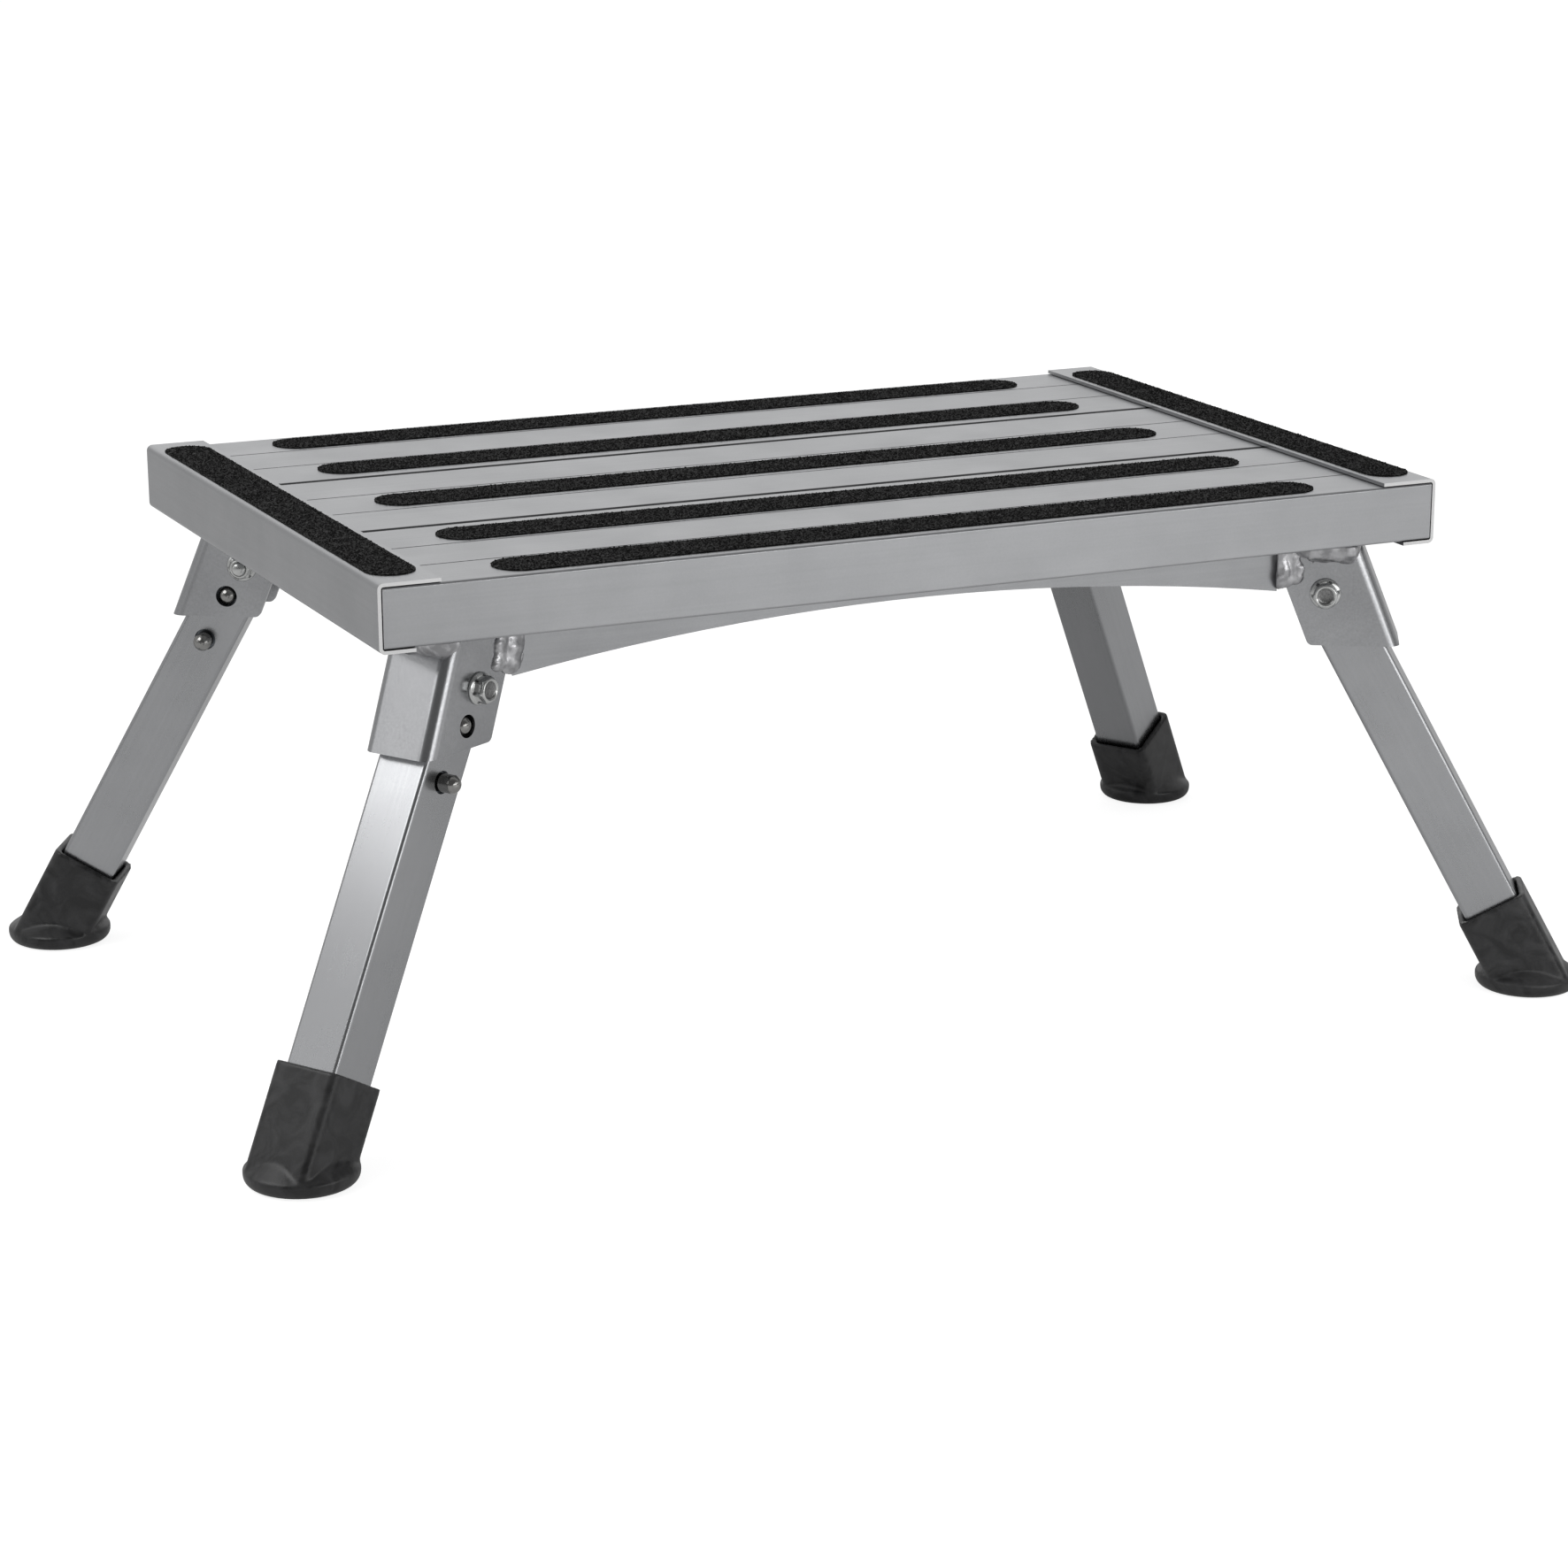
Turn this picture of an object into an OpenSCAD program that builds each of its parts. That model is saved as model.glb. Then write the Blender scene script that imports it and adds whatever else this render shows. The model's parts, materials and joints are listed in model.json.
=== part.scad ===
// Folding caravan entry step. Three extruded planks make the tread, a folded channel caps each
// end, and four square legs turn on hinge bolts in folded brackets, where spring buttons lock them.
// Millimetres. The origin is on the ground under the middle of the deck, with X along the deck,
// -Y towards the front rail and Z up. The legs are modelled open, standing on the ground.

/* [Deck] */
// Length of the deck over its end channels
deck_length = 490; // [470:1:540]
// Width of the deck, front rail face to back rail face
deck_width = 310; // [304:1:330]
// Height of the end channels' top above the ground
step_height = 234; // [215:1:260]
// Width of the middle plank
middle_plank_width = 106; // [100:1:108]
// Gap between one plank and the next
seam_gap = 1.2; // [0.6:0.1:2]
// Bevel along each edge of a seam
seam_bevel = 1.4; // [0.6:0.1:1.8]
// Depth of the hollow plank section
plank_depth = 25.1; // [23:0.1:30]
// Thickness of the tread skin
tread_skin = 2; // [1.8:0.1:3]
// Thickness of the lower skin
lower_skin = 1.6; // [1.2:0.1:2]
// Thickness of the webs inside a plank
plank_web = 1.6; // [1.2:0.1:2]
// Number of hollow cells across a plank
plank_cells = 4; // [3:1:6]
// Thickness of the rail, the outer wall of the front and back planks
rail_wall = 2.5; // [2:0.1:4]
// Rounding of the rail's edges
rail_rounding = 1.1; // [0.5:0.1:1.6]
// Width of the fine grooves along the tread
groove_width = 1; // [0.6:0.1:1.6]
// Depth of the fine grooves
groove_depth = 0.6; // [0.3:0.1:1]
// Distance between the two grooves of a plank
groove_pitch = 33.6; // [32:0.1:35]
// Distance from the rail face to the first groove
groove_inset = 31.7; // [31:0.1:34]

/* [Grip strips] */
// Length of the strips along the deck
grip_length = 381; // [340:1:400]
// Width of the strips along the deck
grip_width = 23.4; // [16:0.1:26]
// Length of the strips on the end channels
end_grip_length = 287; // [240:1:296]
// Width of the strips on the end channels
end_grip_width = 21; // [14:0.1:22]
// Thickness of the grit tape
grip_thickness = 0.9; // [0.5:0.1:1.6]
// Distance from the rail face to the middle of the outer strip
outer_grip_inset = 16.7; // [14:0.1:18]
// Distance from the seam to the middle of the inner strip
inner_grip_inset = 20.6; // [16:0.1:22]
// Distance from the channel's outer face to the middle of its strip
end_grip_inset = 12.9; // [12:0.1:14]

/* [End channels] */
// Thickness of the end channel's sheet
channel_wall = 1.5; // [1:0.1:2]
// Depth of the flange that laps over the planks
flange_depth = 26.6; // [26:0.1:30]
// Depth of the lip under the planks
lip_depth = 15.4; // [10:0.1:17]
// Outer radius of the channel's folds
channel_bend = 2.6; // [2.2:0.1:4]
// Gap between the planks' cut ends and the channel's web
plank_end_gap = 0.5; // [0.3:0.1:2]
// Gap between the channel and the plank surfaces that it wraps
lap_gap = 0.3; // [0.2:0.05:0.6]

/* [Arch rails] */
// Thickness of the arch rails
arch_thickness = 3; // [2:0.1:4]
// Distance from the deck's face to the arch rail's face
arch_setback = 24.5; // [23:0.1:26]
// Depth of the arch rail at its middle, under the planks
arch_mid_depth = 8; // [5:0.5:12]
// Rise of the arch from its ends to its middle
arch_rise = 14.5; // [8:0.5:20]

/* [Leg placing] */
// Distance from the deck's ends to the hinges
hinge_end_inset = 37.6; // [34:0.1:41]
// Distance from the deck's faces to the hinges
hinge_side_inset = 28.2; // [27:0.1:29.5]
// Depth of the hinge axis under the end channels' top
hinge_drop = 50; // [48:0.5:56]
// Direction in which the legs splay, from the deck's length
splay = 30.5; // [29:0.5:31]
// Tilt of an open leg from the vertical
leg_tilt = 29; // [24:0.5:31]

/* [Leg tubes] */
// Width of the square tube
tube_size = 25.4; // [22:0.1:26]
// Wall of the tube
tube_wall = 1.5; // [1:0.1:2]
// Outer corner radius of the tube
tube_corner = 1.8; // [1.2:0.1:2.5]
// Length of tube above the hinge axis
tube_head = 14; // [11:0.5:14]

/* [Brackets] */
// Thickness of the bracket's folded sheet
bracket_sheet = 3; // [2:0.1:3]
// Clearance between the tube and each side of the bracket
bracket_clearance = 1.2; // [0.4:0.1:1.4]
// Outer radius of the bracket's folds
bracket_bend = 5.5; // [4:0.5:7]
// Tilt of the bracket from the vertical
bracket_tilt = 22; // [20:0.5:24]
// Distance from the hinge axis to the outer face of the bracket's web
bracket_web_reach = 22.4; // [22.2:0.1:26]
// Distance from the hinge axis to the bracket's open edge
bracket_edge_reach = 15.1; // [14:0.1:17]
// Depth of the bracket under the hinge axis
bracket_drop = 23.5; // [21:0.5:25]
// Rounding of the lower corners at the bracket's open edge
bracket_corner = 3; // [1:0.5:4]

/* [Hinge bolts] */
// Diameter of the bolt's shank
bolt_diameter = 6; // [5:0.5:6]
// Radial running clearance of the bolt in the tube, the bracket and the nut
bolt_clearance = 0.05; // [0.02:0.01:0.1]
// Diameter of the bearing flange on bolt and nut
bolt_flange = 13.6; // [13:0.1:15]
// Width across the flats of bolt and nut
hex_width = 10; // [8:0.5:11]
// Height of the bolt's head, flange included
head_height = 6.4; // [4:0.1:7]
// Height of the flange under the hexagon
flange_height = 1.6; // [1:0.1:2]
// Height of the nut, flange and collar included
nut_height = 6.4; // [5:0.1:8]
// Height of the nut's round locking collar
nut_collar = 1.6; // [1:0.1:2]
// Length of shank that shows past the nut
bolt_end = 1.6; // [0.5:0.1:3]

/* [Lock buttons] */
// Diameter of the buttons
button_diameter = 7.8; // [6:0.1:8.4]
// Diameter of the holes for the buttons
button_hole = 9.6; // [9:0.1:10.4]
// Distance from the hinge axis to the lock button, along the leg
lock_distance = 16.1; // [15:0.1:17]
// Distance from the lock button to the release button
button_pitch = 24.3; // [23:0.1:28]
// How far the lock button stands out of the bracket's face
lock_proud = 0.8; // [0.2:0.1:2]
// How far the release button stands out of the tube's face
release_proud = 8.7; // [7:0.1:9]
// Height of a button's domed tip
button_dome = 2.6; // [1:0.1:3]
// Thickness of the leaf spring
spring_sheet = 0.8; // [0.5:0.1:1]
// Width of the leaf spring
spring_width = 9; // [7:0.5:12]
// Gap between the leaf spring and the tube's inner face
spring_gap = 0.2; // [0.1:0.05:0.4]
// Length of the spring's back arm, measured from its bend
spring_back_arm = 30; // [20:1:36]

/* [Rubber feet] */
// Radius of the round base
foot_radius = 23.5; // [23.2:0.1:24]
// Length of the sleeve up the leg, from the ground
sleeve_length = 45.5; // [42:0.5:54]
// Wall of the sleeve
sleeve_wall = 2.8; // [2:0.1:3]
// Gap between the sleeve and the tube
sleeve_gap = 0.8; // [0.1:0.1:0.9]
// Outer corner radius of the sleeve
sleeve_corner = 4; // [3.5:0.1:5]
// Length of solid rubber under the tube's end, along the leg
foot_floor = 14; // [12:0.5:16]
// Height of the base's upright rim
base_rim = 6.5; // [5:0.1:7]
// Rounding of the base's lower edge
base_edge = 4.5; // [1:0.1:4.8]
// Slope of the base's shoulder above its rim, from the vertical
shoulder_slope = 55; // [45:1:65]

/* [Welds] */
// Leg of the weld beads under the planks
weld_leg = 9.2; // [6:0.1:10]
// Radius of the bead between arch rail and bracket
weld_radius = 9.5; // [8:0.1:11]
// Height of that bead's crown above the joint
weld_crown = 3.2; // [2:0.1:4]
// How far that bead runs onto the bracket at its lower end
weld_shift = 4; // [2:0.5:5]
// Distance from one ripple of a weld to the next
weld_pitch = 3.6; // [3:0.1:5]

/* [Hidden] */
$fn = 64;
PAST = 1;
CORNERS = ["front_left", "front_right", "back_left", "back_right"];
PIECES = ["bracket", "weld", "hinge_bolt", "hinge_nut", "leg_tube", "rubber_foot",
          "button_spring", "lock_button", "release_button"];

channel_height = plank_depth + 2 * (channel_wall + lap_gap);
channel_bottom = step_height - channel_height;
tread = step_height - channel_wall - lap_gap;
underside = tread - plank_depth;
plank_length = deck_length - 2 * (channel_wall + plank_end_gap);
seam_y = middle_plank_width / 2 + seam_gap;
outer_plank_width = deck_width / 2 - seam_y;

hinge_x = deck_length / 2 - hinge_end_inset;
hinge_y = deck_width / 2 - hinge_side_inset;
hinge_height = step_height - hinge_drop;
leg_reach = hinge_height / cos(leg_tilt);
tube_length = leg_reach - foot_floor + tube_head;
tube_inner = tube_size - 2 * tube_wall;
tube_half = tube_size / 2;
bracket_half = tube_half + bracket_clearance + bracket_sheet;
arch_face = deck_width / 2 - arch_setback;
bolt_hole = bolt_diameter / 2 + bolt_clearance;

spring_face = tube_inner / 2 - spring_gap;
spring_bend = lock_distance + button_pitch + button_hole;
sleeve_half = tube_half + sleeve_gap + sleeve_wall;
shoulder_height = base_rim + (foot_radius - sleeve_half) / tan(shoulder_slope);
base_shift = (hinge_height - base_rim) * tan(leg_tilt);

// Side of the deck that a corner's name gives: -1 or 1 along the deck, and across it
function side_x(c) = c == "front_left" || c == "back_left" ? -1 : 1;
function side_y(c) = c == "front_left" || c == "front_right" ? -1 : 1;

// Direction in which a corner's leg splays
function heading(c) = side_x(c) > 0 ? side_y(c) * splay : 180 - side_y(c) * splay;

// Where the outer face of a bracket's side meets a plane across the deck, at the given distance
function mitre_x(y) = hinge_x - (bracket_half - (y - hinge_y) * cos(splay)) / sin(splay);

function direction(a) = [cos(a), sin(a)];

// Axes of a corner: X along the leg's splay, Y across the leg, Z up, origin under the hinge
module at_corner(c) {
    translate([side_x(c) * hinge_x, side_y(c) * hinge_y, 0])
        rotate([0, 0, heading(c)])
            children();
}

// Axes of an open leg: origin on its hinge axis, Z up along the tube, X facing outwards
module along_leg(c) {
    at_corner(c)
        translate([0, 0, hinge_height])
            rotate([0, -leg_tilt, 0])
                children();
}

// The quarter of the deck that a corner names, modelled at the back right
module in_quarter(c) {
    scale_x = side_x(c) < 0 ? 1 : 0;
    scale_y = side_y(c) < 0 ? 1 : 0;
    mirror([scale_x, 0, 0])
        mirror([0, scale_y, 0])
            children();
}

// Turns a child that rises along Z to rise along Y
module facing_y() {
    rotate([-90, 0, 0])
        children();
}

// Stands a section drawn in Y and Z along X, centred
module along_deck(length) {
    translate([-length / 2, 0, 0])
        rotate([90, 0, 90])
            linear_extrude(length)
                children();
}

// Rectangle with its low corner at the origin and its two far corners rounded along X
module rounded_end(size, radius) {
    square([size.x - radius, size.y]);
    translate([0, radius])
        square([size.x, size.y - 2 * radius]);
    for (y = [radius, size.y - radius])
        translate([size.x - radius, y])
            circle(radius);
}

// Square about the origin with rounded corners
module rounded_square(size, radius) {
    inner = size / 2 - radius;
    square([size, 2 * inner], center = true);
    square([2 * inner, size], center = true);
    for (x = [-inner, inner], y = [-inner, inner])
        translate([x, y])
            circle(radius);
}

// What a fillet takes off a corner whose edges leave it in the directions a and b
module corner_waste(corner, a, b, radius) {
    half = (b - a) / 2;
    run = radius / tan(half);
    centre = corner + direction((a + b) / 2) * radius / sin(half);
    past_a = direction(a) * PAST;
    past_b = direction(b) * PAST;
    on_a = corner + direction(a) * run;
    on_b = corner + direction(b) * run;
    difference() {
        polygon([corner - past_a - past_b, on_a - past_b, on_a, centre, on_b, on_b - past_a]);
        translate(centre)
            circle(radius);
    }
}

// Hollow plank section with its tread at z = 0, from y = 0 to its width
module plank_section(width, first_wall) {
    cell = (width - first_wall) / plank_cells - plank_web;
    difference() {
        translate([0, -plank_depth])
            square([width, plank_depth]);
        for (i = [0:plank_cells - 1])
            translate([first_wall + i * (cell + plank_web), lower_skin - plank_depth])
                square([cell, plank_depth - tread_skin - lower_skin]);
    }
}

module groove_cut(y) {
    translate([y - groove_width / 2, -groove_depth])
        square([groove_width, groove_depth + PAST]);
}

// Bevel along a seam, where toward is 1 if the plank lies on the +Y side of its edge
module seam_cut(y, toward) {
    polygon([[y - toward * PAST, -seam_bevel - PAST], [y + toward * (seam_bevel + PAST), PAST],
             [y - toward * PAST, PAST]]);
}

module middle_plank() {
    half = middle_plank_width / 2;
    color("silver")
        translate([0, 0, tread])
            along_deck(plank_length)
                difference() {
                    translate([-half, 0])
                        plank_section(middle_plank_width, plank_web);
                    for (s = [-1, 1]) {
                        groove_cut(s * groove_pitch / 2);
                        seam_cut(s * half, -s);
                    }
                }
}

// Outer plank, whose thicker outer wall is the rail, modelled at the front
module rail_plank() {
    face = -deck_width / 2;
    color("silver")
        translate([0, 0, tread])
            along_deck(plank_length)
                difference() {
                    translate([face, 0])
                        plank_section(outer_plank_width, rail_wall);
                    corner_waste([face, 0], -90, 0, rail_rounding);
                    corner_waste([face, -plank_depth], 0, 90, rail_rounding);
                    groove_cut(face + groove_inset);
                    groove_cut(face + groove_inset + groove_pitch);
                    seam_cut(-seam_y, -1);
                }
}

module front_plank() {
    rail_plank();
}

module back_plank() {
    mirror([0, 1, 0])
        rail_plank();
}

// Folded channel that caps the planks, with a deep flange over them and a short lip under them
module end_channel(side) {
    inner_height = channel_height - 2 * channel_wall;
    color("darkgray")
        mirror([side < 0 ? 1 : 0, 0, 0])
            translate([deck_length / 2 - flange_depth, deck_width / 2, channel_bottom])
                rotate([90, 0, 0])
                    linear_extrude(deck_width)
                        difference() {
                            rounded_end([flange_depth, channel_height], channel_bend);
                            translate([-PAST, channel_wall])
                                rounded_end([flange_depth - channel_wall + PAST, inner_height],
                                            channel_bend - channel_wall);
                            translate([-PAST, -PAST])
                                square([flange_depth - lip_depth + PAST, channel_wall + 2 * PAST]);
                        }
}

// Strip of grit tape with round ends
module grip_strip(length, width) {
    straight = length - width;
    color([0.12, 0.12, 0.12])
        linear_extrude(grip_thickness) {
            square([straight, width], center = true);
            for (s = [-1, 1])
                translate([s * straight / 2, 0])
                    circle(width / 2);
        }
}

module deck_grip(y) {
    translate([0, y, tread])
        grip_strip(grip_length, grip_width);
}

module end_grip(side) {
    translate([side * (deck_length / 2 - end_grip_inset), 0, step_height])
        rotate([0, 0, 90])
            grip_strip(end_grip_length, end_grip_width);
}

outer_grip_y = deck_width / 2 - outer_grip_inset;
inner_grip_y = seam_y + inner_grip_inset;

// Arched plate between two brackets, its ends mitred to lie flat on their sides
module arch_rail(side) {
    half_span = mitre_x(arch_face);
    inner_span = mitre_x(arch_face - arch_thickness);
    radius = (half_span * half_span + arch_rise * arch_rise) / (2 * arch_rise);
    middle = underside - arch_mid_depth;
    color("darkgray")
        mirror([0, side > 0 ? 1 : 0, 0])
            intersection() {
                linear_extrude(underside)
                    polygon([[-half_span, -arch_face], [half_span, -arch_face],
                             [inner_span, arch_thickness - arch_face],
                             [-inner_span, arch_thickness - arch_face]]);
                rotate([90, 0, 0])
                    linear_extrude(deck_width / 2)
                        difference() {
                            translate([-half_span, middle - arch_rise])
                                square([2 * half_span, arch_mid_depth + arch_rise]);
                            translate([0, middle - radius])
                                circle(radius, $fn = 720);
                        }
            }
}

// Hole across the leg, through the side that s names, or through both when s is 0
module cross_bore(radius, s = 0) {
    low = s == 0 ? -bracket_half - PAST : 0;
    translate([0, low, 0])
        facing_y()
            cylinder(r = radius, h = bracket_half + PAST - low);
}

// Folded channel that holds a leg: its web leans with the leg and its bottom edge is level
module bracket(c) {
    width = 2 * bracket_half;
    depth = bracket_web_reach + bracket_edge_reach;
    height = (hinge_drop + bracket_drop) / cos(bracket_tilt);
    lower_edge = bracket_drop * tan(bracket_tilt);
    open_corner = [lower_edge - bracket_edge_reach / cos(bracket_tilt), -bracket_drop];
    color("darkgray")
        at_corner(c)
            translate([0, 0, hinge_height])
                difference() {
                    intersection() {
                        rotate([0, -bracket_tilt, 0])
                            translate([-bracket_edge_reach, 0, -height])
                                linear_extrude(2 * height)
                                    difference() {
                                        translate([0, -bracket_half])
                                            rounded_end([depth, width], bracket_bend);
                                        translate([-PAST, bracket_sheet - bracket_half])
                                            rounded_end([depth - bracket_sheet + PAST,
                                                         width - 2 * bracket_sheet],
                                                        bracket_bend - bracket_sheet);
                                    }
                        translate([-height, -width, -bracket_drop])
                            cube([2 * height, 2 * width, bracket_drop + underside - hinge_height]);
                    }
                    translate([0, bracket_half + PAST, 0])
                        rotate([90, 0, 0])
                            linear_extrude(width + 2 * PAST)
                                corner_waste(open_corner, 0, 90 + bracket_tilt, bracket_corner);
                    cross_bore(bolt_hole);
                    rotate([0, -leg_tilt, 0])
                        translate([0, 0, -lock_distance])
                            cross_bore(button_hole / 2, 1);
                }
}

// Row of ripples whose radius goes from first to last, between two points
module ripples(from, to, first, last) {
    count = ceil(norm(to - from) / weld_pitch);
    for (i = [0:count])
        translate(from + (to - from) * i / count)
            sphere(first + (last - first) * i / count, $fn = 32);
}

// Bolt heads and the welds along the brackets' sides face outwards, to the front and to the back
module outward(c) {
    mirror([0, side_x(c) * side_y(c) > 0 ? 0 : 1, 0])
        children();
}

// Weld at one corner: a bead down the joint of arch rail and bracket, one under the planks along
// the top of the bracket's web and, at two corners, one along the top of its outer side. The
// ripples are cut off flat where they lie on those faces
module weld(c) {
    joint = [mitre_x(arch_face), arch_face];
    sunk = weld_radius - weld_crown;
    foot = hinge_height + weld_radius / 2;
    rise = underside - hinge_height;
    web_top = bracket_web_reach / cos(bracket_tilt) - rise * tan(bracket_tilt);
    straight = bracket_half - bracket_bend;
    room = 3 * weld_radius;
    color("gray") {
        in_quarter(c)
            intersection() {
                ripples(concat(joint + direction(splay) * weld_shift - [0, sunk], foot),
                        [joint.x, joint.y - sunk, underside], weld_radius, weld_radius);
                translate([joint.x - room, joint.y, 0])
                    cube([2 * room, room, underside]);
                translate([joint.x, joint.y, 0])
                    rotate([0, 0, splay])
                        translate([-room, 0, 0])
                            cube([2 * room, room, underside]);
            }
        intersection() {
            at_corner(c)
                intersection() {
                    ripples([web_top, -straight, underside], [web_top, straight, underside],
                            weld_leg, weld_leg);
                    translate([web_top, 0, underside])
                        rotate([0, -bracket_tilt, 0])
                            translate([0, -room, -room])
                                cube([room, 2 * room, 2 * room]);
                }
            in_quarter(c)
                cube([deck_length / 2 - lip_depth - lap_gap, deck_width / 2, underside]);
        }
        if (side_x(c) * side_y(c) < 0)
            at_corner(c)
                outward(c)
                    intersection() {
                        ripples([weld_leg - bracket_edge_reach, bracket_half, underside],
                                [web_top - bracket_bend, bracket_half, underside],
                                weld_leg, weld_leg);
                        translate([-room, bracket_half, underside - room])
                            cube([2 * room, room, room]);
                    }
    }
}

// Hexagon on a round bearing flange, rising from z = 0
module flanged_hex(height) {
    cylinder(d1 = bolt_flange, d2 = hex_width, h = flange_height);
    intersection() {
        cylinder(d = hex_width / cos(30), h = height, $fn = 6);
        cylinder(r1 = hex_width / 2 + height, r2 = hex_width / 2, h = height + hex_width / 40);
    }
}

module hinge_bolt(c) {
    length = 2 * bracket_half + nut_height + bolt_end;
    color("gainsboro")
        at_corner(c)
            translate([0, 0, hinge_height])
                outward(c)
                    facing_y() {
                        translate([0, 0, bracket_half])
                            flanged_hex(head_height);
                        translate([0, 0, bracket_half - length])
                            cylinder(d = bolt_diameter, h = length);
                    }
}

module hinge_nut(c) {
    color("gainsboro")
        at_corner(c)
            translate([0, 0, hinge_height])
                outward(c)
                    translate([0, -bracket_half, 0])
                        rotate([90, 0, 0])
                            difference() {
                                union() {
                                    flanged_hex(nut_height - nut_collar);
                                    cylinder(d = hex_width * 0.86, h = nut_height);
                                }
                                translate([0, 0, -PAST])
                                    cylinder(r = bolt_hole, h = nut_height + 2 * PAST);
                            }
}

module leg_tube(c) {
    color("lightgray")
        along_leg(c)
            difference() {
                translate([0, 0, tube_head - tube_length])
                    linear_extrude(tube_length)
                        difference() {
                            rounded_square(tube_size, tube_corner);
                            rounded_square(tube_inner, tube_corner / 3);
                        }
                cross_bore(bolt_hole);
                for (z = [lock_distance, lock_distance + button_pitch])
                    translate([0, 0, -z])
                        cross_bore(button_hole / 2, 1);
            }
}

// Rubber boot: a square sleeve on the tube, standing on a round base with a sloping shoulder
module rubber_foot(c) {
    color([0.16, 0.16, 0.16])
        difference() {
            union() {
                intersection() {
                    along_leg(c)
                        translate([0, 0, -leg_reach - sleeve_half])
                            linear_extrude(sleeve_length + sleeve_half)
                                rounded_square(2 * sleeve_half, sleeve_corner);
                    translate([-deck_length, -deck_width, base_rim])
                        cube([2 * deck_length, 2 * deck_width, step_height]);
                }
                at_corner(c)
                    translate([base_shift, 0, 0])
                        rotate_extrude()
                            difference() {
                                polygon([[0, 0], [foot_radius, 0], [foot_radius, base_rim],
                                         [sleeve_half, shoulder_height], [0, shoulder_height]]);
                                corner_waste([foot_radius, 0], 90, 180, base_edge);
                            }
            }
            along_leg(c)
                translate([0, 0, foot_floor - leg_reach])
                    linear_extrude(leg_reach)
                        rounded_square(tube_size + 2 * sleeve_gap, tube_corner + sleeve_gap);
        }
}

// Leaf spring bent to a clip inside the tube; its front arm carries both buttons
module button_spring(c) {
    inner = spring_face - spring_sheet;
    front_top = bolt_hole * 2;
    back_top = spring_bend - spring_back_arm;
    color("lightsteelblue")
        along_leg(c)
            rotate([90, 0, 90])
                translate([0, 0, -spring_width / 2])
                    linear_extrude(spring_width) {
                        translate([inner, -spring_bend])
                            square([spring_sheet, spring_bend - front_top]);
                        translate([-spring_face, -spring_bend])
                            square([spring_sheet, spring_bend - back_top]);
                        translate([0, -spring_bend])
                            difference() {
                                circle(spring_face);
                                circle(inner);
                                translate([-spring_face - PAST, 0])
                                    square([2 * (spring_face + PAST), spring_face + PAST]);
                            }
                    }
}

// Round button with a domed tip, from the spring's face to the given distance across the leg
module button(c, distance, tip) {
    radius = button_diameter / 2;
    dome = (radius * radius + button_dome * button_dome) / (2 * button_dome);
    length = tip - spring_face;
    color("gainsboro")
        along_leg(c)
            translate([0, spring_face, -distance])
                facing_y()
                    rotate_extrude() {
                        square([radius, length - button_dome]);
                        intersection() {
                            square([radius, length]);
                            translate([0, length - dome])
                                circle(dome, $fn = 96);
                        }
                    }
}

module lock_button(c) {
    button(c, lock_distance, bracket_half + lock_proud);
}

module release_button(c) {
    button(c, lock_distance + button_pitch, tube_half + release_proud);
}

front_plank();
middle_plank();
back_plank();
end_channel(-1);  // left_end_channel
end_channel(1);  // right_end_channel
deck_grip(-outer_grip_y);  // front_outer_grip
deck_grip(-inner_grip_y);  // front_inner_grip
deck_grip(0);  // middle_grip
deck_grip(inner_grip_y);  // back_inner_grip
deck_grip(outer_grip_y);  // back_outer_grip
end_grip(-1);  // left_end_grip
end_grip(1);  // right_end_grip
arch_rail(-1);  // front_arch_rail
arch_rail(1);  // back_arch_rail
for (c = CORNERS) {
    bracket(c);
    weld(c);
    hinge_bolt(c);
    hinge_nut(c);
    leg_tube(c);
    rubber_foot(c);
    button_spring(c);
    lock_button(c);
    release_button(c);
}
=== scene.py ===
"""Looks of a folding caravan entry step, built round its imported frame. Metres, Z up."""
import json
import math

import bpy
from mathutils import Euler, Matrix, Vector, noise


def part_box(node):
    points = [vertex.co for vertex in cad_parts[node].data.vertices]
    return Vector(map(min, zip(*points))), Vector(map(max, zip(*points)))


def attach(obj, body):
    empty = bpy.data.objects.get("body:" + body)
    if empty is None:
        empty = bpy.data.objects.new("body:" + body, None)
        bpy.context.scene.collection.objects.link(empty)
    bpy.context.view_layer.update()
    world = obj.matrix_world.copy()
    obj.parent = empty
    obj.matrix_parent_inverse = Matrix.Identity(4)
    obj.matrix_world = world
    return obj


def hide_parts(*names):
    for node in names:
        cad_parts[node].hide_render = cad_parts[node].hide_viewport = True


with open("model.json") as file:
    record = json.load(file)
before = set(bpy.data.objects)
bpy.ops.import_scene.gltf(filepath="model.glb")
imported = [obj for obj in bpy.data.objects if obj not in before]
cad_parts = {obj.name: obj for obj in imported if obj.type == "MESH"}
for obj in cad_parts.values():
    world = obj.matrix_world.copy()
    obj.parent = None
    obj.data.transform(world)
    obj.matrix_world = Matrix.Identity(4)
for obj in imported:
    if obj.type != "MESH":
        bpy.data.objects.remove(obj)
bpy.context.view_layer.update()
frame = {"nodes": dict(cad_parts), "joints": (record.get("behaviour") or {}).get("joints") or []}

MM = 0.001
CORNERS = {"front_left": (-1, -1), "front_right": (1, -1), "back_left": (-1, 1), "back_right": (1, 1)}
DECK_STRIPS = ("front_outer_grip", "front_inner_grip", "middle_grip", "back_inner_grip", "back_outer_grip")
END_STRIPS = ("left_end_grip", "right_end_grip")
PLANKS = ("front_plank", "middle_plank", "back_plank")
CHANNELS = ("left_end_channel", "right_end_channel")
ARCHES = ("front_arch_rail", "back_arch_rail")


# Small helpers for nodes and meshes

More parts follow.
